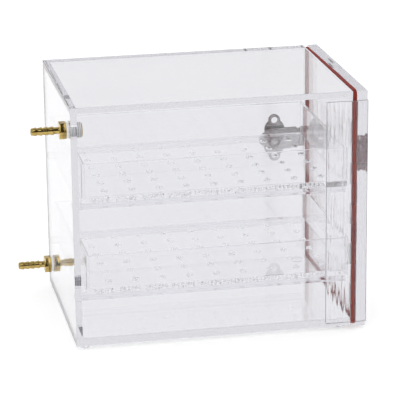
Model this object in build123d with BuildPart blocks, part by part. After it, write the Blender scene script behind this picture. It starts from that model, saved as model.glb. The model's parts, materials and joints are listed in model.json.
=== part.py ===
"""Bench-top desiccator cabinet of clear acrylic sheet, with a hinged, latched and gasketed door.

Millimetres. +X runs from the back panel to the door, +Y from the hinge side to the latch side,
and +Z is up. The origin is on the bench, under the middle of everything that stands on it.
"""

from build123d import *
import os

os.makedirs("parts", exist_ok=True)

# Cabinet body, cemented from one thickness of sheet
body_length = 255.0
body_width = 185.0
body_height = 222.0
panel_t = 6.35

# Door and gasket
door_t = 9.5
door_drop = 1.5
gasket_t = 4.0
gasket_width = 7.0
gasket_inset = 0.3
gasket_proud = 0.8
gasket_corner_r = 5.0

# Rubber feet
foot_r = 4.75
foot_height = 3.8
foot_round = 1.6
foot_inset = 8.5

# Tray rails and trays
rail_height = 5.0
rail_depth = 9.0
rail_front_gap = 5.0
lower_rail_top = 47.3
upper_rail_below_top = 89.2
tray_end_play = 10.65
tray_side_gap = 1.4
tray_floor_t = 4.8
tray_wall_t = 3.0
tray_wall_height = 31.0
upper_tray_back_gap = 3.15
lower_tray_back_gap = 5.15
hole_r = 3.2
hole_pitch = 25.0
hole_margin = 12.0
hole_grid_shift = 2.0

# Hose barbs through the back panel
barb_hex_across_flats = 14.3
barb_hex_t = 6.2
barb_washer_r = 7.6
barb_washer_t = 1.2
barb_thread_r = 6.6
barb_thread_end = 6.6
barb_thread_chamfer = 0.8
barb_bore_r = 2.2
barb_root_r = 3.1
barb_crest_r = 3.9
barb_neck = 4.9
barb_ridge_pitch = 5.0
barb_ridge_land = 0.6
barb_ridges = 4
upper_barb_from_hinge_side = 22.0
upper_barb_below_top = 25.0
lower_barb_from_latch_side = 22.0
lower_barb_above_base = 25.0

# Full-height plastic hinge
hinge_top_gap = 8.5
hinge_bottom_gap = 3.5
hinge_knuckles = 11
hinge_barrel_r = 2.7
hinge_axis_past_rim = 0.9
hinge_pin_r = 0.4
hinge_leaf_t = 2.4
hinge_leaf_width = 22.1
hinge_tab_t = 2.8
hinge_tab_reach = 9.9
hinge_leaf_gap = 0.4
hinge_knuckle_gap = 0.2

# Twist latch: its middle height, its pivot from the front rim, and its sheet
latch_height = 129.0
latch_pivot_setback = 29.0
latch_sheet_t = 1.2
latch_step = 0.2
base_half_height = 12.5
base_nose_half_height = 5.0
base_nose_length = 9.5
base_back_reach = 16.5
base_front_reach = 21.0
base_guide_width = 1.2
base_guide_height = 1.2
base_nose_screw_setback = 12.8
base_front_screw_reach = 12.5
cam_throw = 2.0
cam_hub_r = 5.0
cam_cap_r = 7.6
cam_cap_t = 1.4
cam_collar_r = 4.0
cam_slot_play = 0.45
rivet_r = 1.5
rivet_head_r = 3.2
rivet_head_t = 1.0
carrier_back_wall = 2.2
claw_pin_r = 0.8
claw_barrel_r = 1.7
claw_barrel_clearance = 0.7
claw_barrel_half = 5.8
claw_pin_reach = 25.3
claw_half_height = 12.0
claw_wide_end = 34.0
claw_lip_t = 1.2
claw_lip_half = 8.0
keeper_edge_gap = 0.4
keeper_half_height = 17.5
keeper_lip_inset = 1.6
keeper_lip_height = 1.5
keeper_screw_rise = 10.75
wing_t = 1.6
wing_span = 50.6
wing_lobe_r = 5.8
wing_shoulder_r = 10.0
wing_shoulder_reach = 10.5
wing_rim_width = 1.4
wing_rim_height = 0.8
wing_bar_width = 9.0
wing_hole_r = 3.2

# Screws
base_screw_r = 1.4
base_screw_head_r = 2.3
base_screw_head_t = 1.4
base_screw_depth = 5.0
keeper_screw_r = 1.2
keeper_screw_head_r = 2.3
keeper_screw_head_t = 1.2
keeper_screw_depth = 9.0
screw_slot_width = 0.6
screw_slot_depth = 0.6

# Clearances
running_gap = 0.05
seat_gap = 0.02
lip_gap = 0.1
slide_gap = 0.3

# Heights
z_base = foot_height
z_top = z_base + body_height
z_floor = z_base + panel_t
z_ceiling = z_top - panel_t

# Twist latch levels, outward from the face that it is screwed to
carrier_low = latch_sheet_t + latch_step
carrier_high = carrier_low + latch_sheet_t
cap_low = carrier_high + latch_step
cap_high = cap_low + cam_cap_t
claw_axis_level = claw_barrel_clearance + claw_barrel_r
claw_high = claw_axis_level + claw_barrel_r
claw_low = claw_high - latch_sheet_t
wing_low = max(claw_high, cap_high) + 2 * latch_step
wing_high = wing_low + wing_t
rivet_head_low = wing_high + running_gap
latch_reach = rivet_head_low + rivet_head_t

# Lengthwise places: the origin is midway between the barb tips and the door
barb_shank = barb_neck + barb_ridges * barb_ridge_pitch
barb_reach = barb_washer_t + barb_hex_t + barb_shank
x_back = (barb_reach - body_length - gasket_t - door_t) / 2
x_inside = x_back + panel_t
x_front = x_back + body_length
x_door = x_front + gasket_t
x_door_out = x_door + door_t

# Sideways places: the origin is midway between the hinge barrel and the latch
y_hinge = (2 * hinge_barrel_r - body_width - latch_reach) / 2
y_latch = y_hinge + body_width
y_inside_hinge = y_hinge + panel_t
y_inside_latch = y_latch - panel_t
y_middle = (y_hinge + y_latch) / 2

# Hinge axis and knuckle height
x_hinge_axis = x_front + hinge_axis_past_rim
y_hinge_axis = y_hinge - hinge_barrel_r
z_hinge = z_base + hinge_bottom_gap
hinge_length = body_height - hinge_bottom_gap - hinge_top_gap
knuckle_height = hinge_length / hinge_knuckles

# Latch pivot
x_latch = x_front - latch_pivot_setback
z_latch = z_base + latch_height
x_keeper_screw = x_door + door_t / 2

# Barb axes, as (y, z)
upper_barb_axis = (y_hinge + upper_barb_from_hinge_side, z_top - upper_barb_below_top)
lower_barb_axis = (y_latch - lower_barb_from_latch_side, z_base + lower_barb_above_base)

base_screws = {
    "nose": (x_latch - base_nose_screw_setback, z_latch),
    "front": (x_latch + base_front_screw_reach, z_latch),
}
keeper_screws = {
    "top": (x_keeper_screw, z_latch + keeper_screw_rise),
    "bottom": (x_keeper_screw, z_latch - keeper_screw_rise),
}


def span_box(xs, ys, zs, mode=Mode.ADD):
    """Add or cut a box between two limits along each axis."""
    spans = (xs, ys, zs)
    middle = tuple((low + high) / 2 for low, high in spans)
    with Locations(middle):
        Box(*(high - low for low, high in spans), mode=mode)


def latch_plane(level):
    """Plane parallel to the latch side, at a level outward: local x is +X and local y is +Z."""
    return Plane(origin=(0, y_latch + level, 0), x_dir=(1, 0, 0), z_dir=(0, -1, 0))


def latch_disc(x, z, radius, low, high, mode=Mode.ADD):
    """Disc or round hole about an axis along Y, between two levels outward from the latch side."""
    with BuildSketch(latch_plane(low)) as disc:
        with Locations((x, z)):
            Circle(radius)
    extrude(disc.sketch, amount=low - high, mode=mode)


def barb_disc(axis, radius, x_low, x_high, mode=Mode.ADD):
    """Disc or round hole about an axis along X, given as its (y, z), between two places along X."""
    with BuildSketch(Plane(origin=(x_low, *axis), x_dir=(0, 1, 0), z_dir=(1, 0, 0))) as disc:
        Circle(radius)
    extrude(disc.sketch, amount=x_high - x_low, mode=mode)


# Cemented panels. The side panels butt against the back, and the top and bottom fit between them.
with BuildPart() as back_panel:
    span_box((x_back, x_inside), (y_hinge, y_latch), (z_base, z_top))
    for axis in (upper_barb_axis, lower_barb_axis):
        barb_disc(axis, barb_thread_r + running_gap, x_back, x_inside, Mode.SUBTRACT)
back_panel.part.label = "back_panel"
export_step(back_panel.part, "parts/back_panel.step")

with BuildPart() as hinge_side_panel:
    span_box((x_inside, x_front), (y_hinge, y_inside_hinge), (z_base, z_top))
hinge_side_panel.part.label = "hinge_side_panel"
export_step(hinge_side_panel.part, "parts/hinge_side_panel.step")

with BuildPart() as latch_side_panel:
    span_box((x_inside, x_front), (y_inside_latch, y_latch), (z_base, z_top))
    for x, z in base_screws.values():
        latch_disc(x, z, base_screw_r + running_gap, -base_screw_depth - running_gap, 0, Mode.SUBTRACT)
latch_side_panel.part.label = "latch_side_panel"
export_step(latch_side_panel.part, "parts/latch_side_panel.step")

with BuildPart() as top_panel:
    span_box((x_inside, x_front), (y_inside_hinge, y_inside_latch), (z_ceiling, z_top))
top_panel.part.label = "top_panel"
export_step(top_panel.part, "parts/top_panel.step")

with BuildPart() as bottom_panel:
    span_box((x_inside, x_front), (y_inside_hinge, y_inside_latch), (z_base, z_floor))
bottom_panel.part.label = "bottom_panel"
export_step(bottom_panel.part, "parts/bottom_panel.step")

# Feet: round bumpers with a softened rim and a flat that stands on the bench.
foot_corners = {
    "foot_back_hinge_side": (x_back + foot_inset, y_hinge + foot_inset),
    "foot_back_latch_side": (x_back + foot_inset, y_latch - foot_inset),
    "foot_front_hinge_side": (x_front - foot_inset, y_hinge + foot_inset),
    "foot_front_latch_side": (x_front - foot_inset, y_latch - foot_inset),
}
for foot_name, corner in foot_corners.items():
    with BuildPart() as foot:
        with BuildSketch(Plane.XY):
            with Locations(corner):
                Circle(foot_r)
        extrude(amount=foot_height)
        fillet(foot.edges().group_by(Axis.Z)[0], radius=foot_round)
    foot.part.label = foot_name
    export_step(foot.part, f"parts/{foot_name}.step")

# Rails on both side panels, and a tray of five cemented pieces on each pair.
rail_span = (x_inside, x_front - rail_front_gap)
rail_sides = {
    "hinge_side": (y_inside_hinge, y_inside_hinge + rail_depth),
    "latch_side": (y_inside_latch - rail_depth, y_inside_latch),
}
tray_places = {
    "upper": (z_top - upper_rail_below_top, x_inside + upper_tray_back_gap),
    "lower": (z_base + lower_rail_top, x_inside + lower_tray_back_gap),
}
tray_length = x_door - x_inside - tray_end_play
tray_y = (y_inside_hinge + tray_side_gap, y_inside_latch - tray_side_gap)
tray_wall_y = (tray_y[0] + tray_wall_t, tray_y[1] - tray_wall_t)
tray_clear_length = tray_length - 2 * (tray_wall_t + hole_margin)
tray_clear_width = tray_wall_y[1] - tray_wall_y[0] - 2 * hole_margin
hole_columns = int(tray_clear_length // hole_pitch) + 1
hole_rows = int(tray_clear_width // hole_pitch) + 1

for tray_name, (z_rail, tray_back) in tray_places.items():
    for side_name, rail_y in rail_sides.items():
        with BuildPart() as rail:
            span_box(rail_span, rail_y, (z_rail - rail_height, z_rail))
        rail.part.label = f"{tray_name}_rail_{side_name}"
        export_step(rail.part, f"parts/{tray_name}_rail_{side_name}.step")

    tray_x = (tray_back, tray_back + tray_length)
    z_tray_floor = z_rail + tray_floor_t
    wall_z = (z_tray_floor, z_tray_floor + tray_wall_height)

    with BuildPart() as tray_floor:
        span_box(tray_x, tray_y, (z_rail, z_tray_floor))
        with BuildSketch(Plane.XY.offset(z_rail)):
            with Locations((tray_back + tray_length / 2 + hole_grid_shift, y_middle)):
                with GridLocations(hole_pitch, hole_pitch, hole_columns, hole_rows):
                    Circle(hole_r)
        extrude(amount=tray_floor_t, mode=Mode.SUBTRACT)
    tray_floor.part.label = f"{tray_name}_tray_floor"
    export_step(tray_floor.part, f"parts/{tray_name}_tray_floor.step")

    tray_walls = {
        "back_wall": ((tray_x[0], tray_x[0] + tray_wall_t), tray_wall_y),
        "front_wall": ((tray_x[1] - tray_wall_t, tray_x[1]), tray_wall_y),
        "hinge_side_wall": (tray_x, (tray_y[0], tray_wall_y[0])),
        "latch_side_wall": (tray_x, (tray_wall_y[1], tray_y[1])),
    }
    for wall_name, (wall_x, wall_y) in tray_walls.items():
        with BuildPart() as tray_wall:
            span_box(wall_x, wall_y, wall_z)
        tray_wall.part.label = f"{tray_name}_tray_{wall_name}"
        export_step(tray_wall.part, f"parts/{tray_name}_tray_{wall_name}.step")

# Hose barbs: a bored brass fitting with a hex, a threaded end in the panel and a ridged shank.
barb_axes = {"upper": upper_barb_axis, "lower": lower_barb_axis}
x_hex = x_back - barb_washer_t
x_shank = x_hex - barb_hex_t
x_thread_end = x_inside + barb_thread_end
for barb_name, axis in barb_axes.items():
    with BuildPart() as hose_barb:
        barb_disc(axis, barb_thread_r, x_hex, x_thread_end)
        chamfer(hose_barb.edges().group_by(Axis.X)[-1], length=barb_thread_chamfer)
        with BuildSketch(Plane(origin=(x_shank, *axis), x_dir=(0, 1, 0), z_dir=(1, 0, 0))):
            RegularPolygon(radius=barb_hex_across_flats / 2, side_count=6, major_radius=False)
        extrude(amount=barb_hex_t)
        with BuildSketch(Plane(origin=(x_shank, *axis), x_dir=(-1, 0, 0), z_dir=(0, 1, 0))):
            with BuildLine():
                outline = [(0, 0), (0, barb_root_r)]
                for ridge in range(barb_ridges):
                    crest = barb_neck + ridge * barb_ridge_pitch
                    outline.append((crest, barb_root_r))
                    outline.append((crest, barb_crest_r))
                    outline.append((crest + barb_ridge_land, barb_crest_r))
                outline.append((barb_shank, barb_root_r))
                outline.append((barb_shank, 0))
                Polyline(*outline, close=True)
            make_face()
        revolve(axis=Axis((x_shank, *axis), (-1, 0, 0)))
        barb_disc(axis, barb_bore_r, x_shank - barb_shank, x_thread_end, Mode.SUBTRACT)
    hose_barb.part.label = f"{barb_name}_hose_barb"
    export_step(hose_barb.part, f"parts/{barb_name}_hose_barb.step")

    with BuildPart() as barb_washer:
        barb_disc(axis, barb_washer_r, x_hex, x_back)
        barb_disc(axis, barb_thread_r + running_gap, x_hex, x_back, Mode.SUBTRACT)
    barb_washer.part.label = f"{barb_name}_barb_washer"
    export_step(barb_washer.part, f"parts/{barb_name}_barb_washer.step")

# Door and its gasket, a soft frame that lies on the front rim of the body.
with BuildPart() as door_panel:
    span_box((x_door, x_door_out), (y_hinge, y_latch), (z_base - door_drop, z_top))
    for x, z in keeper_screws.values():
        latch_disc(x, z, keeper_screw_r + running_gap, -keeper_screw_depth - running_gap, 0, Mode.SUBTRACT)
door_panel.part.label = "door_panel"
export_step(door_panel.part, "parts/door_panel.step")

gasket_z = (z_base + gasket_inset, z_top + gasket_proud)
gasket_y = (y_hinge + gasket_inset, y_latch - gasket_inset)
gasket_middle = (sum(gasket_y) / 2, sum(gasket_z) / 2)
gasket_size = (gasket_y[1] - gasket_y[0], gasket_z[1] - gasket_z[0])
with BuildPart() as door_gasket:
    with BuildSketch(Plane(origin=(x_front, 0, 0), x_dir=(0, 1, 0), z_dir=(1, 0, 0))):
        with Locations(gasket_middle):
            RectangleRounded(*gasket_size, gasket_corner_r)
            Rectangle(*(side - 2 * gasket_width for side in gasket_size), mode=Mode.SUBTRACT)
    extrude(amount=gasket_t)
door_gasket.part.label = "door_gasket"
export_step(door_gasket.part, "parts/door_gasket.step")

# Hinge: two cemented leaves with alternate knuckles on one pin.
hinge_span = (z_hinge, z_hinge + hinge_length)
hinge_leaf_y = (y_hinge - hinge_leaf_t, y_hinge)
hinge_tab_y = (y_hinge - hinge_tab_t, y_hinge)


def hinge_knuckle(index, web_xs, web_ys):
    """One bored knuckle of the barrel and the web that joins it to its leaf."""
    low = z_hinge + index * knuckle_height + hinge_knuckle_gap / 2
    high = low + knuckle_height - hinge_knuckle_gap
    span_box(web_xs, web_ys, (low, high))
    with BuildSketch(Plane.XY.offset(low)) as barrel:
        with Locations((x_hinge_axis, y_hinge_axis)):
            Circle(hinge_barrel_r)
    extrude(barrel.sketch, amount=high - low)


def hinge_bore(gap):
    """Bore the whole barrel for the pin, with a radial gap."""
    with BuildSketch(Plane.XY.offset(z_hinge)) as bore:
        with Locations((x_hinge_axis, y_hinge_axis)):
            Circle(hinge_pin_r + gap)
    extrude(bore.sketch, amount=hinge_length, mode=Mode.SUBTRACT)


with BuildPart() as hinge_body_leaf:
    leaf_front = x_hinge_axis - hinge_barrel_r - hinge_leaf_gap
    span_box((leaf_front - hinge_leaf_width, leaf_front), hinge_leaf_y, hinge_span)
    for index in range(0, hinge_knuckles, 2):
        hinge_knuckle(index, (x_hinge_axis - hinge_tab_reach, x_hinge_axis), hinge_tab_y)
    hinge_bore(seat_gap)
hinge_body_leaf.part.label = "hinge_body_leaf"
export_step(hinge_body_leaf.part, "parts/hinge_body_leaf.step")

with BuildPart() as hinge_door_leaf:
    leaf_back = x_hinge_axis + hinge_barrel_r + hinge_leaf_gap
    span_box((leaf_back, x_door_out), hinge_leaf_y, hinge_span)
    for index in range(1, hinge_knuckles, 2):
        hinge_knuckle(index, (x_hinge_axis, leaf_back), hinge_leaf_y)
    hinge_bore(running_gap)
hinge_door_leaf.part.label = "hinge_door_leaf"
export_step(hinge_door_leaf.part, "parts/hinge_door_leaf.step")

with BuildPart() as hinge_pin:
    with BuildSketch(Plane.XY.offset(z_hinge)):
        with Locations((x_hinge_axis, y_hinge_axis)):
            Circle(hinge_pin_r)
    extrude(amount=hinge_length)
hinge_pin.part.label = "hinge_pin"
export_step(hinge_pin.part, "parts/hinge_pin.step")

# Latch base: a plate with a nose at the back and two low guides for the carrier.
x_base_back = x_latch - base_back_reach
x_base_front = x_latch + base_front_reach
base_guides = (base_half_height - base_guide_width, base_half_height)
with BuildPart() as latch_base:
    with BuildSketch(latch_plane(0)):
        with BuildLine():
            Polyline(
                (x_base_back, z_latch - base_nose_half_height),
                (x_base_back + base_nose_length, z_latch - base_half_height),
                (x_base_front, z_latch - base_half_height),
                (x_base_front, z_latch + base_half_height),
                (x_base_back + base_nose_length, z_latch + base_half_height),
                (x_base_back, z_latch + base_nose_half_height),
                close=True,
            )
        make_face()
    extrude(amount=-latch_sheet_t)
    guide_y = (y_latch + latch_sheet_t, y_latch + latch_sheet_t + base_guide_height)
    guide_x = (x_base_back + base_nose_length, x_base_front)
    for side in (-1, 1):
        guide_z = sorted(z_latch + side * offset for offset in base_guides)
        span_box(guide_x, guide_y, guide_z)
    for x, z in base_screws.values():
        latch_disc(x, z, base_screw_r + running_gap, 0, latch_sheet_t, Mode.SUBTRACT)
    latch_disc(x_latch, z_latch, rivet_r + seat_gap, 0, latch_sheet_t, Mode.SUBTRACT)
latch_base.part.label = "latch_base"
export_step(latch_base.part, "parts/latch_base.step")

# Screws: slotted pan heads with plain shanks in the sheet.
screw_kinds = {
    "latch_screw": (base_screws, base_screw_r, base_screw_head_r, base_screw_head_t, base_screw_depth),
    "keeper_screw": (
        keeper_screws, keeper_screw_r, keeper_screw_head_r, keeper_screw_head_t, keeper_screw_depth
    ),
}
for kind, (places, shank_r, head_r, head_t, depth) in screw_kinds.items():
    for place_name, (x, z) in places.items():
        head_top = latch_sheet_t + head_t
        slot_y = (y_latch + head_top - screw_slot_depth, y_latch + head_top)
        with BuildPart() as screw:
            latch_disc(x, z, head_r, latch_sheet_t, head_top)
            fillet(screw.edges().group_by(Axis.Y)[-1], radius=head_t / 3)
            latch_disc(x, z, shank_r, -depth, latch_sheet_t)
            slot_z = (z - screw_slot_width / 2, z + screw_slot_width / 2)
            span_box((x - head_r, x + head_r), slot_y, slot_z, Mode.SUBTRACT)
        screw.part.label = f"{kind}_{place_name}"
        export_step(screw.part, f"parts/{kind}_{place_name}.step")

# Carrier: slides between the guides, moved by the eccentric hub in its slot. A second slot
# clears the front screw, and its front edge is rolled into two knuckles for the claw's pin.
x_hub = x_latch - cam_throw
slot_half_x = cam_hub_r + cam_slot_play
slot_half_z = cam_hub_r + cam_throw + slide_gap
screw_slot_half = base_screw_head_r + slide_gap
x_front_screw = x_latch + base_front_screw_reach
screw_slot_x = (x_front_screw - screw_slot_half - 2 * cam_throw, x_front_screw + screw_slot_half)
x_carrier_back = x_hub - slot_half_x - carrier_back_wall
x_claw_pin = x_latch + claw_pin_reach
carrier_half = base_half_height - base_guide_width - slide_gap
carrier_y = (y_latch + carrier_low, y_latch + carrier_high)
y_claw_pin = y_latch + claw_axis_level
knuckle_start = claw_barrel_half + latch_step
with BuildPart() as latch_carrier:
    plate_z = (z_latch - carrier_half, z_latch + carrier_half)
    x_plate_end = x_claw_pin - claw_barrel_r - slide_gap
    span_box((x_carrier_back, x_plate_end), carrier_y, plate_z)
    slot_z = (z_latch - slot_half_z, z_latch + slot_half_z)
    span_box((x_hub - slot_half_x, x_hub + slot_half_x), carrier_y, slot_z, Mode.SUBTRACT)
    screw_slot_z = (z_latch - screw_slot_half, z_latch + screw_slot_half)
    span_box(screw_slot_x, carrier_y, screw_slot_z, Mode.SUBTRACT)
    for side in (-1, 1):
        knuckle_z = sorted(z_latch + side * offset for offset in (knuckle_start, carrier_half))
        span_box((x_plate_end, x_claw_pin), carrier_y, knuckle_z)
        with BuildSketch(Plane.XY.offset(knuckle_z[0])):
            with Locations((x_claw_pin, y_claw_pin)):
                Circle(claw_barrel_r)
        extrude(amount=carrier_half - knuckle_start)
    with BuildSketch(Plane.XY.offset(z_latch - carrier_half)):
        with Locations((x_claw_pin, y_claw_pin)):
            Circle(claw_pin_r + seat_gap)
    extrude(amount=2 * carrier_half, mode=Mode.SUBTRACT)
latch_carrier.part.label = "latch_carrier"
export_step(latch_carrier.part, "parts/latch_carrier.step")

with BuildPart() as claw_pin:
    with BuildSketch(Plane.XY.offset(z_latch - carrier_half)):
        with Locations((x_claw_pin, y_claw_pin)):
            Circle(claw_pin_r)
    extrude(amount=2 * carrier_half)
claw_pin.part.label = "claw_pin"
export_step(claw_pin.part, "parts/claw_pin.step")

# Claw: hangs on its pin, widens to a plate and turns in behind the keeper's lip.
x_keeper_lip = x_door + keeper_lip_inset
x_claw_lip = x_keeper_lip + latch_sheet_t + lip_gap
x_claw_end = x_claw_lip + claw_lip_t
claw_y = (y_latch + claw_low, y_latch + claw_high)
lip_z = (z_latch - claw_lip_half, z_latch + claw_lip_half)
with BuildPart() as latch_claw:
    neck_z = (z_latch - claw_barrel_half, z_latch + claw_barrel_half)
    wide_z = (z_latch - claw_half_height, z_latch + claw_half_height)
    x_wide = (x_claw_pin + claw_barrel_r + slide_gap, x_latch + claw_wide_end)
    span_box((x_claw_pin, x_wide[0]), claw_y, neck_z)
    span_box(x_wide, claw_y, wide_z)
    span_box((x_wide[1], x_claw_end), claw_y, lip_z)
    lip_y = (y_latch + carrier_low, y_latch + claw_high)
    span_box((x_claw_lip, x_claw_end), lip_y, lip_z)
    with BuildSketch(Plane.XY.offset(neck_z[0])):
        with Locations((x_claw_pin, y_claw_pin)):
            Circle(claw_barrel_r)
    extrude(amount=2 * claw_barrel_half)
    with BuildSketch(Plane.XY.offset(neck_z[0])):
        with Locations((x_claw_pin, y_claw_pin)):
            Circle(claw_pin_r + running_gap)
    extrude(amount=2 * claw_barrel_half, mode=Mode.SUBTRACT)
latch_claw.part.label = "latch_claw"
export_step(latch_claw.part, "parts/latch_claw.step")

# Cam: an eccentric hub in the carrier's slot, a cap over it and a collar under the wing.
with BuildPart() as latch_cam:
    latch_disc(x_hub, z_latch, cam_hub_r, carrier_low, cap_low)
    latch_disc(x_latch, z_latch, cam_cap_r, cap_low, cap_high)
    latch_disc(x_latch, z_latch, cam_collar_r, cap_high, wing_low)
    latch_disc(x_latch, z_latch, rivet_r + running_gap, carrier_low, wing_low, Mode.SUBTRACT)
latch_cam.part.label = "latch_cam"
export_step(latch_cam.part, "parts/latch_cam.step")

# Wing: a flat butterfly, with a rimmed round lobe at each end of a wider shoulder.
lobe_centre = wing_span / 2 - wing_lobe_r
with BuildPart() as latch_wing:
    bar_x = (x_latch - wing_bar_width / 2, x_latch + wing_bar_width / 2)
    bar_y = (y_latch + wing_low, y_latch + wing_high)
    span_box(bar_x, bar_y, (z_latch - lobe_centre, z_latch + lobe_centre))
    for side in (-1, 1):
        z_lobe = z_latch + side * lobe_centre
        rim_high = wing_high + wing_rim_height
        z_shoulder = z_latch + side * wing_shoulder_reach
        latch_disc(x_latch, z_shoulder, wing_shoulder_r, wing_low, wing_high)
        latch_disc(x_latch, z_lobe, wing_lobe_r, wing_low, rim_high)
        latch_disc(x_latch, z_lobe, wing_lobe_r - wing_rim_width, wing_high, rim_high, Mode.SUBTRACT)
        latch_disc(x_latch, z_lobe, wing_hole_r, wing_low, wing_high, Mode.SUBTRACT)
    latch_disc(x_latch, z_latch, rivet_r + running_gap, wing_low, wing_high, Mode.SUBTRACT)
latch_wing.part.label = "latch_wing"
export_step(latch_wing.part, "parts/latch_wing.step")

with BuildPart() as latch_rivet:
    latch_disc(x_latch, z_latch, rivet_r, 0, rivet_head_low)
    latch_disc(x_latch, z_latch, rivet_head_r, rivet_head_low, latch_reach)
    fillet(latch_rivet.edges().group_by(Axis.Y)[-1], radius=rivet_head_t / 2)
latch_rivet.part.label = "latch_rivet"
export_step(latch_rivet.part, "parts/latch_rivet.step")

# Keeper: a plate on the free edge of the door, with a lip that the claw pulls on.
with BuildPart() as latch_keeper:
    keeper_x = (x_door + keeper_edge_gap, x_door_out - keeper_edge_gap)
    keeper_z = (z_latch - keeper_half_height, z_latch + keeper_half_height)
    span_box(keeper_x, (y_latch, y_latch + latch_sheet_t), keeper_z)
    keeper_lip_y = (y_latch + latch_sheet_t, y_latch + latch_sheet_t + keeper_lip_height)
    span_box((x_keeper_lip, x_keeper_lip + latch_sheet_t), keeper_lip_y, lip_z)
    for x, z in keeper_screws.values():
        latch_disc(x, z, keeper_screw_r + running_gap, 0, latch_sheet_t, Mode.SUBTRACT)
latch_keeper.part.label = "latch_keeper"
export_step(latch_keeper.part, "parts/latch_keeper.step")
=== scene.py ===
import json
import math

import bmesh
import bpy
from mathutils import Matrix, Vector


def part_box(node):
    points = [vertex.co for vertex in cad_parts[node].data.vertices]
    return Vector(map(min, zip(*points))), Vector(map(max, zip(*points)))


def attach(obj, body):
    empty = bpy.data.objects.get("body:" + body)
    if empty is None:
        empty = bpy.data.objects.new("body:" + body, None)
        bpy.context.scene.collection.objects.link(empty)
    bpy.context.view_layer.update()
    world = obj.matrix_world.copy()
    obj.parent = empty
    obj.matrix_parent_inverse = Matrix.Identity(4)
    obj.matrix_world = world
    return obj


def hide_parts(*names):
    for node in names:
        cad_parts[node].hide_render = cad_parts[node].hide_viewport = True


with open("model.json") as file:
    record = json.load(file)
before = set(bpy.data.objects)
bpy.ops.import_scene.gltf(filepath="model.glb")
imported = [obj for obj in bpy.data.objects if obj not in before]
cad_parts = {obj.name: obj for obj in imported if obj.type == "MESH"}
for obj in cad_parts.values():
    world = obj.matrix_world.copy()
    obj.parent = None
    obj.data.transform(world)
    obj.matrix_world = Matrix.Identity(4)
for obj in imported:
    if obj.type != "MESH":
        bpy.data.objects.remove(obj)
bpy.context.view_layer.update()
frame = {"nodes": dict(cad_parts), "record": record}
scene = bpy.context.scene
scene.cycles.max_bounces = 40
scene.cycles.transmission_bounces = 40
scene.cycles.glossy_bounces = 40
scene.cycles.diffuse_bounces = 4
scene.cycles.transparent_max_bounces = 40
nodes = frame["nodes"]
MM = 0.001


def lo(node):
    return Vector(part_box(node)[0])


def hi(node):
    return Vector(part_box(node)[1])


# ---------------------------------------------------------------- camera
body_low = Vector((lo("back_panel").x, lo("back_panel").y, lo("back_panel").z))
body_high = Vector((hi("latch_side_panel").x, hi("back_panel").y, hi("back_panel").z))
body_centre = (body_low + body_high) / 2

VIEW_TURN = math.radians(-11.1139)
VIEW_PITCH = math.radians(17.3204)
VIEW_ROLL = math.radians(-0.64813)
VIEW_DISTANCE = 2.0341
VIEW_RIGHT = 5.319 * MM
VIEW_UP = -9.0055 * MM
SENSOR = 36.0
FOCAL_PIXELS = 2173.22

back = Vector((
    math.sin(VIEW_TURN) * math.cos(VIEW_PITCH),
    -math.cos(VIEW_TURN) * math.cos(VIEW_PITCH),
    math.sin(VIEW_PITCH),
))
level = Vector((0, 0, 1)).cross(back).normalized()
rise = back.cross(level)
right = math.cos(VIEW_ROLL) * level + math.sin(VIEW_ROLL) * rise
up = -math.sin(VIEW_ROLL) * level + math.cos(VIEW_ROLL) * rise

camera_data = bpy.data.cameras.new("camera")
camera_data.sensor_width = SENSOR
camera_data.lens = FOCAL_PIXELS * SENSOR / 400
camera_data.clip_start = 0.05
camera_data.clip_end = 50
camera = bpy.data.objects.new("camera", camera_data)
scene.collection.objects.link(camera)
camera.matrix_world = (
    Matrix.Translation(body_centre + back * VIEW_DISTANCE + right * VIEW_RIGHT + up * VIEW_UP)
    @ Matrix((right, up, back)).transposed().to_4x4()
)
scene.camera = camera


# ---------------------------------------------------------------- node helpers
def new_material(name):
    material = bpy.data.materials.new(name)
    material.use_nodes = True
    material.node_tree.nodes.clear()
    return material, material.node_tree


def link(tree, source, target):
    tree.links.new(source, target)


def noise(tree, coords, scale, detail=3.0, roughness=0.5):
    node = tree.nodes.new("ShaderNodeTexNoise")
    node.inputs["Scale"].default_value = scale
    node.inputs["Detail"].default_value = detail
    node.inputs["Roughness"].default_value = roughness
    link(tree, coords, node.inputs["Vector"])
    return node


def ramp(tree, source, low, high, start=0.0, end=1.0):
    node = tree.nodes.new("ShaderNodeMapRange")
    node.inputs["From Min"].default_value = low
    node.inputs["From Max"].default_value = high
    node.inputs["To Min"].default_value = start
    node.inputs["To Max"].default_value = end
    link(tree, source, node.inputs["Value"])
    return node.outputs["Result"]


def blend_colour(tree, factor, a, b):
    node = tree.nodes.new("ShaderNodeMix")
    node.data_type = "RGBA"
    node.inputs[6].default_value = (*a, 1)
    node.inputs[7].default_value = (*b, 1)
    link(tree, factor, node.inputs[0])
    return node.outputs[2]


def stretched(tree, scale):
    coords = tree.nodes.new("ShaderNodeTexCoord")
    mapping = tree.nodes.new("ShaderNodeMapping")
    mapping.inputs["Scale"].default_value = scale
    link(tree, coords.outputs["Object"], mapping.inputs["Vector"])
    return mapping.outputs["Vector"]


def bump(tree, height, strength, distance):
    node = tree.nodes.new("ShaderNodeBump")
    node.inputs["Strength"].default_value = strength
    node.inputs["Distance"].default_value = distance
    link(tree, height, node.inputs["Height"])
    return node.outputs["Normal"]


RIPPLE_STRETCH = (1, 3, 0.08)
RIPPLE_SCALE = 380.0
DEPTH_TINT = (0.1, 0.08, 0.2)


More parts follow.
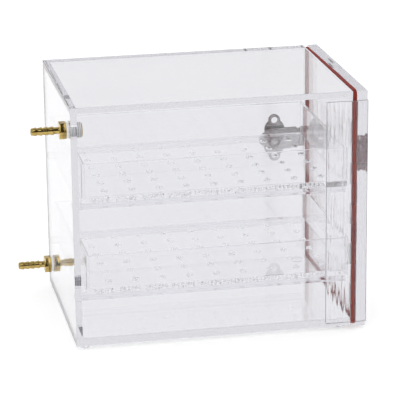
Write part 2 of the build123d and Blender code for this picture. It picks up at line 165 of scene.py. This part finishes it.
def clear_plastic(name, tint_a, tint_b, ior, rough, streak, shade, depth_loss=0.0, ripple=0.0):
    """Clear sheet that bends light, with faint streaks; ripple is the depth of an extruded skin's lines."""
    material, tree = new_material(name)
    output = tree.nodes.new("ShaderNodeOutputMaterial")
    mix = tree.nodes.new("ShaderNodeMixShader")
    path = tree.nodes.new("ShaderNodeLightPath")
    through = tree.nodes.new("ShaderNodeBsdfTransparent")
    through.inputs["Color"].default_value = (*shade, 1)
    body = tree.nodes.new("ShaderNodeBsdfPrincipled")
    body.inputs["Transmission Weight"].default_value = 1.0
    body.inputs["IOR"].default_value = ior
    coords = stretched(tree, streak)
    cloud = noise(tree, coords, 12.0, 4.0)
    patches = ramp(tree, cloud.outputs["Fac"], 0.35, 0.65)
    link(tree, blend_colour(tree, patches, tint_a, tint_b), body.inputs["Base Color"])
    haze = noise(tree, coords, 60.0, 6.0, 0.65)
    link(tree, ramp(tree, haze.outputs["Fac"], 0.5, 0.8, 0.0, rough), body.inputs["Roughness"])
    if ripple:
        lines = noise(tree, stretched(tree, RIPPLE_STRETCH), RIPPLE_SCALE, 1.0, 0.4)
        link(tree, bump(tree, lines.outputs["Fac"], 1.0, ripple), body.inputs["Normal"])
    link(tree, path.outputs["Is Shadow Ray"], mix.inputs["Fac"])
    link(tree, body.outputs["BSDF"], mix.inputs[1])
    link(tree, through.outputs["BSDF"], mix.inputs[2])
    link(tree, mix.outputs["Shader"], output.inputs["Surface"])
    if depth_loss:
        loss = tree.nodes.new("ShaderNodeVolumeAbsorption")
        loss.inputs["Color"].default_value = (*DEPTH_TINT, 1)
        loss.inputs["Density"].default_value = depth_loss
        link(tree, loss.outputs["Volume"], output.inputs["Volume"])
    return material


def metal(name, bright, dull, rough_low, rough_high, stretch, fine):
    """Plated or turned metal with fine tool marks and clouding."""
    material, tree = new_material(name)
    output = tree.nodes.new("ShaderNodeOutputMaterial")
    body = tree.nodes.new("ShaderNodeBsdfPrincipled")
    body.inputs["Metallic"].default_value = 1.0
    plain = stretched(tree, (1, 1, 1))
    drawn = stretched(tree, stretch)
    cloud = noise(tree, plain, 220.0, 4.0, 0.6)
    marks = noise(tree, drawn, fine, 5.0, 0.7)
    clouding = ramp(tree, cloud.outputs["Fac"], 0.35, 0.7)
    link(tree, blend_colour(tree, clouding, bright, dull), body.inputs["Base Color"])
    link(tree, ramp(tree, marks.outputs["Fac"], 0.3, 0.7, rough_low, rough_high), body.inputs["Roughness"])
    link(tree, bump(tree, marks.outputs["Fac"], 0.25, 0.04 * MM), body.inputs["Normal"])
    link(tree, body.outputs["BSDF"], output.inputs["Surface"])
    return material


def rubber(name, colour, light, rough):
    """Matt cast, moulded or sawn surface: cloudy, with a fine grain."""
    material, tree = new_material(name)
    output = tree.nodes.new("ShaderNodeOutputMaterial")
    body = tree.nodes.new("ShaderNodeBsdfPrincipled")
    body.inputs["Specular IOR Level"].default_value = 0.25
    coords = stretched(tree, (1, 1, 1))
    cloud = noise(tree, coords, 90.0, 5.0, 0.6)
    grain = noise(tree, coords, 1500.0, 3.0, 0.6)
    bloom = ramp(tree, cloud.outputs["Fac"], 0.35, 0.75)
    link(tree, blend_colour(tree, bloom, colour, light), body.inputs["Base Color"])
    sheen = ramp(tree, cloud.outputs["Fac"], 0.3, 0.7, rough - 0.08, rough + 0.1)
    link(tree, sheen, body.inputs["Roughness"])
    link(tree, bump(tree, grain.outputs["Fac"], 0.3, 0.03 * MM), body.inputs["Normal"])
    link(tree, body.outputs["BSDF"], output.inputs["Surface"])
    return material


def ribbed_tape(name, crest, painted_groove_shade, pitch, start):
    """White tape pressed into a thread, with painted shade in its grooves (a darker colour in bands along the
    thread) and a dull uneven skin.
    """
    material, tree = new_material(name)
    output = tree.nodes.new("ShaderNodeOutputMaterial")
    body = tree.nodes.new("ShaderNodeBsdfPrincipled")
    coords = stretched(tree, (1, 1, 1))
    wave = tree.nodes.new("ShaderNodeTexWave")
    wave.bands_direction = "X"
    wave.inputs["Scale"].default_value = 2 * math.pi / (20 * pitch)
    wave.inputs["Phase Offset"].default_value = -2 * math.pi * start / pitch
    wave.inputs["Distortion"].default_value = 0.4
    link(tree, coords, wave.inputs["Vector"])
    # The darker colour is painted shade in the grooves, laid in bands that follow the ridges.
    link(tree, blend_colour(tree, wave.outputs["Fac"], painted_groove_shade, crest), body.inputs["Base Color"])
    cloud = noise(tree, coords, 400.0, 4.0, 0.6)
    link(tree, ramp(tree, cloud.outputs["Fac"], 0.3, 0.7, 0.4, 0.6), body.inputs["Roughness"])
    link(tree, bump(tree, cloud.outputs["Fac"], 0.3, 0.04 * MM), body.inputs["Normal"])
    link(tree, body.outputs["BSDF"], output.inputs["Surface"])
    return material


ACRYLIC_IOR = 1.49
FOOT_IOR = 1.43
EVEN = (1, 1, 1)
acrylic = clear_plastic(
    "acrylic_sheet", (0.912, 0.911, 0.927), (0.902, 0.901, 0.918), ACRYLIC_IOR, 0.03, EVEN, (0.95, 0.95, 0.96),
    depth_loss=1.4,
)
thin_acrylic = clear_plastic(
    "tray_sheet", (0.985, 0.985, 0.99), (0.975, 0.975, 0.982), ACRYLIC_IOR, 0.04, EVEN, (0.97, 0.97, 0.975),
)
drilled_wall = clear_plastic(
    "drilled_wall", (1.0, 1.0, 1.0), (0.99, 0.99, 0.995), ACRYLIC_IOR, 2.0, (6, 6, 6), (0.97, 0.97, 0.975),
)
hinge_plastic = clear_plastic(
    "hinge_plastic", (0.985, 0.985, 0.99), (0.975, 0.975, 0.982), ACRYLIC_IOR, 0.04, (6, 6, 0.4),
    (0.95, 0.95, 0.955), ripple=0.6 * MM,
)
foot_plastic = clear_plastic(
    "foot_plastic", (0.93, 0.935, 0.94), (0.9, 0.905, 0.91), FOOT_IOR, 0.12, EVEN, (0.85, 0.85, 0.86),
)
brass = metal("brass", (0.56, 0.41, 0.15), (0.38, 0.27, 0.08), 0.1, 0.2, (40, 1, 1), 30.0)
nickel = metal("nickel_plate", (0.58, 0.55, 0.53), (0.2, 0.18, 0.17), 0.1, 0.26, (1, 1, 12), 60.0)
silicone = rubber("silicone", (0.2, 0.012, 0.007), (0.26, 0.022, 0.013), 0.6)
washer_plastic = rubber("washer_plastic", (0.86, 0.86, 0.85), (0.74, 0.74, 0.73), 0.45)
# Red-brown paint for the bores of the hinge leaves: a painted refraction of the gasket's colour seen through
# the clear barrel, which also hides the nickel pin.
bore_painted_refraction = metal("bore_painted_refraction", (0.36, 0.035, 0.014), (0.24, 0.02, 0.008), 0.3, 0.5, (1, 1, 8), 80.0)
sawn_edge = rubber("sawn_edge", (0.4, 0.4, 0.42), (0.52, 0.52, 0.54), 0.5)
# Dark paint for the sides and bevels of the stamped latch parts: painted shade that draws dark outlines along
# their edges.
edge_painted_shade = metal("edge_painted_shade", (0.13, 0.115, 0.11), (0.07, 0.06, 0.058), 0.3, 0.5, (1, 1, 12), 90.0)
screw_steel = metal("screw_steel", (0.24, 0.22, 0.21), (0.14, 0.125, 0.12), 0.2, 0.35, (1, 1, 1), 90.0)
# The keeper's brown tint is a painted reflection of the red gasket on its nickel plate.
keeper_painted_reflection = metal("keeper_painted_reflection", (0.42, 0.265, 0.27), (0.26, 0.155, 0.16), 0.14, 0.34, (1, 1, 12), 60.0)

FINISH = {
    "acrylic": acrylic,
    "hinge_clear": hinge_plastic,
    "foot_clear": foot_plastic,
    "silicone": silicone,
    "brass": brass,
    "washer_white": washer_plastic,
    "nickel": nickel,
}
slot_of = {part["node"]: part["material_slot"] for part in frame["record"]["subparts"]}
for name, item in nodes.items():
    material = thin_acrylic if "_tray_" in name else FINISH[slot_of[name]]
    if not item.material_slots:
        item.data.materials.append(material)
    for place in item.material_slots:
        place.material = material


# ---------------------------------------------------------------- mesh helpers
def mesh_piece(name, mesh, slot_name, body, replaced, material=None):
    piece = bpy.data.objects.new(name, mesh)
    scene.collection.objects.link(piece)
    mesh.materials.append(material or FINISH[slot_name])
    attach(piece, body)
    if replaced:
        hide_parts(*replaced)
    return piece


BEVEL_FROM = math.radians(30)
SMOOTH_BELOW = math.radians(35)


def bevelled(mesh_edit, width, segments=2):
    edges = [e for e in mesh_edit.edges if len(e.link_faces) == 2 and e.calc_face_angle(0) > BEVEL_FROM]
    bmesh.ops.bevel(
        mesh_edit, geom=edges, offset=width, segments=segments, profile=0.5, affect="EDGES",
        clamp_overlap=True,
    )


def is_level(face):
    return max(abs(k) for k in face.normal) > 0.99999


def to_mesh(mesh_edit, name, smooth=True):
    """Round faces shade smoothly, and a face square to the frame stays flat up to its edges."""
    bmesh.ops.recalc_face_normals(mesh_edit, faces=mesh_edit.faces)
    mesh_edit.normal_update()
    for edge in mesh_edit.edges:
        faces = edge.link_faces
        if len(faces) != 2:
            edge.smooth = False
            continue
        turn = faces[0].normal.angle(faces[1].normal, 0)
        edge.smooth = turn < SMOOTH_BELOW and not any(map(is_level, faces))
    for face in mesh_edit.faces:
        face.smooth = smooth and not is_level(face)
    mesh = bpy.data.meshes.new(name)
    mesh_edit.to_mesh(mesh)
    mesh_edit.free()
    return mesh


# ---------------------------------------------------------------- cemented shell
outer_low, outer_high = body_low, body_high
CORNERS = [(x, y, z) for x in (0, 1) for y in (0, 1) for z in (0, 1)]
SHELL_EDGE = 0.35 * MM
inner_low = Vector((hi("back_panel").x, hi("hinge_side_panel").y, hi("bottom_panel").z))
inner_high = Vector((body_high.x, lo("latch_side_panel").y, lo("top_panel").z))

shell = bmesh.new()
corner = {}
for sx, sy, sz in CORNERS:
    for kind, ends in (("o", (outer_low, outer_high)), ("i", (inner_low, inner_high))):
        corner[kind, sx, sy, sz] = shell.verts.new((ends[sx].x, ends[sy].y, ends[sz].z))


def wall(kind, *places):
    shell.faces.new([corner[(kind, *place)] for place in places])


for kind in ("o", "i"):
    wall(kind, (0, 0, 0), (0, 1, 0), (0, 1, 1), (0, 0, 1))
    wall(kind, (0, 0, 0), (1, 0, 0), (1, 0, 1), (0, 0, 1))
    wall(kind, (0, 1, 0), (1, 1, 0), (1, 1, 1), (0, 1, 1))
    wall(kind, (0, 0, 0), (1, 0, 0), (1, 1, 0), (0, 1, 0))
    wall(kind, (0, 0, 1), (1, 0, 1), (1, 1, 1), (0, 1, 1))
rim = [(1, 0, 0), (1, 1, 0), (1, 1, 1), (1, 0, 1)]
for index in range(4):
    a, b = rim[index], rim[(index + 1) % 4]
    shell.faces.new([corner[("o", *a)], corner[("o", *b)], corner[("i", *b)], corner[("i", *a)]])
bmesh.ops.recalc_face_normals(shell, faces=shell.faces)
outer_corners = [corner["o", *place] for place in CORNERS]
outside = [e for e in shell.edges if all(v in outer_corners for v in e.verts)]
bmesh.ops.bevel(shell, geom=outside, offset=SHELL_EDGE, segments=2, profile=0.5, affect="EDGES")
shell_mesh = to_mesh(shell, "acrylic_shell", smooth=False)
shell_piece = mesh_piece(
    "acrylic_shell", shell_mesh, "acrylic", "cabinet",
    ("back_panel", "hinge_side_panel", "latch_side_panel", "top_panel", "bottom_panel"),
)
BARB_HOLE = 6.78 * MM
DRILL_LENGTH = 20 * MM
DRILL_BACK = 2 * MM
for barb in ("upper", "lower"):
    axis = (lo(barb + "_barb_washer") + hi(barb + "_barb_washer")) / 2
    drill = bmesh.new()
    bmesh.ops.create_cone(
        drill, cap_ends=True, segments=64, radius1=BARB_HOLE, radius2=BARB_HOLE, depth=DRILL_LENGTH,
    )
    drill_mesh = bpy.data.meshes.new("drill")
    drill.to_mesh(drill_mesh)
    drill.free()
    cutter = bpy.data.objects.new("drill", drill_mesh)
    scene.collection.objects.link(cutter)
    middle = Matrix.Translation((inner_low.x - DRILL_BACK, axis.y, axis.z))
    cutter.matrix_world = middle @ Matrix.Rotation(math.radians(90), 4, "Y")
    bpy.context.view_layer.update()
    cut = shell_piece.modifiers.new("barb_hole", "BOOLEAN")
    cut.operation = "DIFFERENCE"
    cut.solver = "EXACT"
    cut.object = cutter
    bored = bpy.data.meshes.new_from_object(shell_piece.evaluated_get(bpy.context.evaluated_depsgraph_get()))
    shell_piece.modifiers.clear()
    shell_piece.data = bored
    bpy.data.objects.remove(cutter)

# ---------------------------------------------------------------- other pieces
AIR_GAP = 0.015 * MM
CLEAR = ("acrylic", "hinge_clear", "foot_clear")
LEAVES = ("hinge_body_leaf", "hinge_door_leaf")
MERGE_BELOW = 1e-6
FLAT_ANGLE = math.radians(0.5)
FEW_FACES = 40
FLAT_EDGE = 0.2 * MM
ROUND_EDGE = 0.08 * MM
REBUILT = ("back_panel", "hinge_side_panel", "latch_side_panel", "top_panel", "bottom_panel", "door_gasket")


def body_of_node(node):
    for body, members in frame["record"]["behaviour"]["bodies"].items():
        if node in members:
            return body
    return "root"


def shrunk(edit, amount):
    """Draw every face inwards by about amount, so that touching pieces keep a thin film of air."""
    bmesh.ops.recalc_face_normals(edit, faces=edit.faces)
    edit.normal_update()
    shift = {v: v.normal * v.calc_shell_factor() * amount for v in edit.verts}
    for vertex, step in shift.items():
        vertex.co -= step


STAMPED = ("latch_wing", "latch_base", "latch_carrier", "latch_claw", "latch_keeper")
pin_axis = ((lo("hinge_pin") + hi("hinge_pin")) / 2).xy
BORE_REACH = (hi("hinge_pin").x - lo("hinge_pin").x) / 2 + 0.3 * MM
BARREL_REACH = 2.9 * MM
HOLE_FACET = (8 * MM) ** 2
PRESSED_EDGES = {
    "latch_wing": 0.55 * MM, "latch_base": 0.45 * MM, "latch_claw": 0.4 * MM, "latch_keeper": 0.4 * MM,
    "upper_hose_barb": 0.12 * MM, "lower_hose_barb": 0.12 * MM,
}
for name, item in nodes.items():
    if name in REBUILT:
        continue
    edit = bmesh.new()
    edit.from_mesh(item.data)
    bmesh.ops.remove_doubles(edit, verts=edit.verts, dist=MERGE_BELOW)
    bmesh.ops.dissolve_limit(edit, angle_limit=FLAT_ANGLE, verts=edit.verts, edges=edit.edges)
    shrunk(edit, AIR_GAP)
    is_flat = len(edit.faces) < FEW_FACES
    if is_flat or slot_of[name] not in CLEAR:
        bevelled(edit, PRESSED_EDGES.get(name, FLAT_EDGE if is_flat else ROUND_EDGE))
    edit.normal_update()
    finishes = [item.material_slots[0].material]
    # The keeper gets the brown tint, a painted reflection of the gasket, in place of plain nickel.
    if name == "latch_keeper":
        finishes = [keeper_painted_reflection]
    if "_screw_" in name:
        finishes = [screw_steel]
    if name in LEAVES:
        # The bore walls get the red-brown paint, a painted refraction of the gasket seen through the clear
        # barrel.
        finishes += [bore_painted_refraction, sawn_edge]
        for face in edit.faces:
            reach = (face.calc_center_median().xy - pin_axis).length
            if all((v.co.xy - pin_axis).length < BORE_REACH for v in face.verts):
                face.material_index = 1
            elif abs(face.normal.y) < 0.5 and is_level(face) and reach > BARREL_REACH:
                face.material_index = 2
    if name.endswith("_tray_floor"):
        finishes.append(drilled_wall)
        for face in edit.faces:
            if abs(face.normal.z) < 0.5 and face.calc_area() < HOLE_FACET:
                face.material_index = 1
    # Faces not facing along y (the sheet's sides and bevels) get the dark paint: painted shade along the
    # stamped parts' edges.
    if name in STAMPED:
        finishes.append(edge_painted_shade)
        for face in edit.faces:
            if abs(face.normal.y) < 0.95:
                face.material_index = 1
    shape = to_mesh(edit, name + "_shape", smooth=not is_flat)
    piece = mesh_piece(
        name + "_shape", shape, slot_of[name], body_of_node(name), (name,), finishes[0],
    )
    for finish in finishes[1:]:
        piece.data.materials.append(finish)

# ---------------------------------------------------------------- gasket
seal_low, seal_high = lo("door_gasket"), hi("door_gasket")
SEAL_WIDTH = 7.0 * MM
SEAL_CORNER = 5.0 * MM
SEAL_INNER_CORNER = 0.6 * MM
SEAL_TURN_STEPS = 8
SEAL_RUN_STEPS = 40
BACK_SLANT = 0.8


def seal_corner(side_y, side_z, inset):
    """Centre of the rounded corner on one side, drawn in by inset."""
    y = seal_high.y - inset if side_y > 0 else seal_low.y + inset
    z = seal_high.z - inset if side_z > 0 else seal_low.z + inset
    return y, z


def seal_stations():
    """Outer and inner points around the frame, with steps along the straight runs."""
    turns = []
    for side_y, side_z, start in ((1, 1, 0), (-1, 1, 90), (-1, -1, 180), (1, -1, 270)):
        outer_y, outer_z = seal_corner(side_y, side_z, SEAL_CORNER)
        inner_y, inner_z = seal_corner(side_y, side_z, SEAL_WIDTH + SEAL_INNER_CORNER)
        turn = []
        for step in range(SEAL_TURN_STEPS + 1):
            angle = math.radians(start + step * 90 / SEAL_TURN_STEPS)
            way = Vector((math.cos(angle), math.sin(angle)))
            turn.append((
                Vector((outer_y, outer_z)) + way * SEAL_CORNER,
                Vector((inner_y, inner_z)) + way * SEAL_INNER_CORNER,
            ))
        turns.append(turn)
    stations = []
    for index, turn in enumerate(turns):
        stations += turn
        following = turns[(index + 1) % 4][0]
        for step in range(1, SEAL_RUN_STEPS):
            share = step / SEAL_RUN_STEPS
            stations.append((
                turn[-1][0].lerp(following[0], share),
                turn[-1][1].lerp(following[1], share),
            ))
    return stations


def seal_profile(outer, length):
    """Points across the seal as (x, distance in from the outer edge): rounder where the latch squeezes it."""
    squeeze = min(1.0, max(0.0, (outer.x - seal_low.y) / (seal_high.y - seal_low.y) * 1.6 - 0.5))
    wave = 0.08 * math.sin(length / (11 * MM)) + 0.05 * math.sin(length / (4.3 * MM) + 1.7)
    drop = (0.1 + wave + 1.2 * squeeze) * MM
    edge_back = (0.9 + 1.6 * squeeze) * MM
    edge_front = (0.7 + 0.2 * squeeze) * MM
    x_low, x_high = seal_low.x + AIR_GAP, seal_high.x - AIR_GAP
    points = [(x_low, SEAL_WIDTH - 0.4 * MM), (x_low, drop + edge_back)]
    for step in range(1, 5):
        angle = math.radians(90 * step / 5)
        along = edge_back * (1 - math.cos(angle)) * BACK_SLANT
        points.append((x_low + along, drop + edge_back * (1 - math.sin(angle))))
    points += [(x_low + edge_back * BACK_SLANT, drop), (x_high - edge_front, drop)]
    for step in range(1, 5):
        angle = math.radians(90 * step / 5)
        along = edge_front * (1 - math.sin(angle))
        points.append((x_high - along, drop + edge_front * (1 - math.cos(angle))))
    points += [(x_high, drop + edge_front), (x_high, SEAL_WIDTH - 0.4 * MM)]
    points += [(x_high - 0.4 * MM, SEAL_WIDTH), (x_low + 0.4 * MM, SEAL_WIDTH)]
    return points


seal = bmesh.new()
rings = []
length = 0.0
before = None
for outer, inner in seal_stations():
    length += (outer - before).length if before else 0.0
    before = outer
    ring = []
    for x, inward in seal_profile(outer, length):
        place = outer.lerp(inner, inward / SEAL_WIDTH)
        ring.append(seal.verts.new((x, place.x, place.y)))
    rings.append(ring)
for index, ring in enumerate(rings):
    after = rings[(index + 1) % len(rings)]
    for k, vertex in enumerate(ring):
        beside = (k + 1) % len(ring)
        seal.faces.new((vertex, ring[beside], after[beside], after[k]))
bmesh.ops.recalc_face_normals(seal, faces=seal.faces)
for face in seal.faces:
    face.smooth = True
seal_mesh = bpy.data.meshes.new("silicone_seal")
seal.to_mesh(seal_mesh)
seal.free()
mesh_piece("silicone_seal", seal_mesh, "silicone", "cabinet", ("door_gasket",))

# ---------------------------------------------------------------- thread tape on the barbs
TAPE_RIDGE = 0.15 * MM
OPEN_RIDGE = 0.4 * MM
TAPE_RIDGES = 8
TAPE_START = hi("upper_barb_washer").x + 0.05 * MM
TAPE_END = hi("upper_hose_barb").x - 0.9 * MM
# The second, dark colour is painted shade in the tape's grooves; the first is the tape's own white.
thread_tape = ribbed_tape(
    "thread_tape", (0.9, 0.9, 0.91), (0.22, 0.22, 0.23), (TAPE_END - TAPE_START) / TAPE_RIDGES, TAPE_START,
)
TAPE_RADIUS = 6.6 * MM
TAPE_GROOVE = 0.03 * MM
TAPE_SIDES = 48
for barb in ("upper", "lower"):
    axis = (lo(barb + "_barb_washer") + hi(barb + "_barb_washer")) / 2
    tape = bmesh.new()
    steps = 2 * TAPE_RIDGES
    rims = []
    for step in range(steps + 1):
        x = TAPE_START + (TAPE_END - TAPE_START) * step / steps
        ridge = OPEN_RIDGE if x > inner_low.x + 0.2 * MM else TAPE_RIDGE
        radius = TAPE_RADIUS + (ridge if step % 2 else TAPE_GROOVE)
        rims.append([
            tape.verts.new((x, axis.y + radius * math.cos(turn), axis.z + radius * math.sin(turn)))
            for turn in (math.radians(k * 360 / TAPE_SIDES) for k in range(TAPE_SIDES))
        ])
    for a, b in zip(rims, rims[1:]):
        for k in range(TAPE_SIDES):
            beside = (k + 1) % TAPE_SIDES
            tape.faces.new((a[k], b[k], b[beside], a[beside]))
    bmesh.ops.recalc_face_normals(tape, faces=tape.faces)
    for face in tape.faces:
        face.smooth = True
    tape_mesh = bpy.data.meshes.new(barb + "_thread_tape")
    tape.to_mesh(tape_mesh)
    tape.free()
    mesh_piece(barb + "_thread_tape", tape_mesh, "washer_white", "cabinet", (), thread_tape)

# ---------------------------------------------------------------- studio
FLOOR_REACH = 6.0
FLOOR_BELOW = 0.2 * MM
FLOOR_GLOW = 0.36
floor_edit = bmesh.new()
bmesh.ops.create_grid(floor_edit, x_segments=1, y_segments=1, size=FLOOR_REACH)
floor = bpy.data.objects.new("floor", to_mesh(floor_edit, "floor", smooth=False))
scene.collection.objects.link(floor)
floor.location.z = -FLOOR_BELOW
floor_material, tree = new_material("floor")
output = tree.nodes.new("ShaderNodeOutputMaterial")
diffuse = tree.nodes.new("ShaderNodeBsdfDiffuse")
diffuse.inputs["Color"].default_value = (0.78, 0.78, 0.78, 1)
glow = tree.nodes.new("ShaderNodeEmission")
glow.inputs["Strength"].default_value = FLOOR_GLOW
lit = tree.nodes.new("ShaderNodeAddShader")
link(tree, diffuse.outputs["BSDF"], lit.inputs[0])
link(tree, glow.outputs["Emission"], lit.inputs[1])
even = tree.nodes.new("ShaderNodeEmission")
even.inputs["Strength"].default_value = 1.0
path = tree.nodes.new("ShaderNodeLightPath")
pick = tree.nodes.new("ShaderNodeMixShader")
link(tree, path.outputs["Is Transmission Ray"], pick.inputs["Fac"])
link(tree, lit.outputs["Shader"], pick.inputs[1])
link(tree, even.outputs["Emission"], pick.inputs[2])
link(tree, pick.outputs["Shader"], output.inputs["Surface"])
floor.data.materials.append(floor_material)

world = bpy.data.worlds.new("studio")
scene.world = world
world.use_nodes = True
tree = world.node_tree
tree.nodes.clear()
output = tree.nodes.new("ShaderNodeOutputWorld")
path = tree.nodes.new("ShaderNodeLightPath")
coords = tree.nodes.new("ShaderNodeTexCoord")


def darkened(toward, start, end, floor_level):
    """World strength that falls to floor_level near one direction, as a dark wall of the studio does."""
    dot = tree.nodes.new("ShaderNodeVectorMath")
    dot.operation = "DOT_PRODUCT"
    dot.inputs[1].default_value = toward
    link(tree, coords.outputs["Generated"], dot.inputs[0])
    tone = tree.nodes.new("ShaderNodeMapRange")
    tone.interpolation_type = "SMOOTHSTEP"
    tone.inputs["From Min"].default_value = start
    tone.inputs["From Max"].default_value = end
    tone.inputs["To Min"].default_value = 1.0
    tone.inputs["To Max"].default_value = floor_level
    link(tree, dot.outputs["Value"], tone.inputs["Value"])
    return tone.outputs["Result"]


def studio_light(colour, strength):
    node = tree.nodes.new("ShaderNodeBackground")
    node.inputs["Color"].default_value = (*colour, 1)
    if isinstance(strength, float):
        node.inputs["Strength"].default_value = strength
    else:
        link(tree, strength, node.inputs["Strength"])
    return node.outputs["Background"]


def chosen(flag, otherwise, when):
    mix = tree.nodes.new("ShaderNodeMixShader")
    link(tree, path.outputs[flag], mix.inputs["Fac"])
    link(tree, otherwise, mix.inputs[1])
    link(tree, when, mix.inputs[2])
    return mix.outputs["Shader"]


toward_camera = tuple(back)
plain = studio_light((1.0, 1.0, 1.0), 0.95)
mirrored = studio_light((0.83, 0.835, 0.855), darkened(toward_camera, 0.15, 0.65, 0.05))
through = studio_light((1.0, 1.0, 1.0), 1.0)
white = studio_light((1.0, 1.0, 1.0), 1.0)
surround = chosen("Is Glossy Ray", plain, mirrored)
surround = chosen("Is Transmission Ray", surround, through)
surround = chosen("Is Camera Ray", surround, white)
link(tree, surround, output.inputs["Surface"])


def lamp(name, place, size, power):
    data = bpy.data.lights.new(name, "AREA")
    data.shape = "RECTANGLE"
    data.size, data.size_y = size
    data.energy = power
    item = bpy.data.objects.new(name, data)
    scene.collection.objects.link(item)
    item.location = place
    aim = Vector((0, 0, 0.11)) - Vector(place)
    item.rotation_euler = aim.to_track_quat("-Z", "Y").to_euler()
    return item


lamp("key", (-1.0, -1.6, 1.9), (0.9, 0.9), 6)
lamp("fill", (1.7, -0.9, 1.2), (0.8, 1.2), 3)

scene.view_settings.view_transform = "Standard"
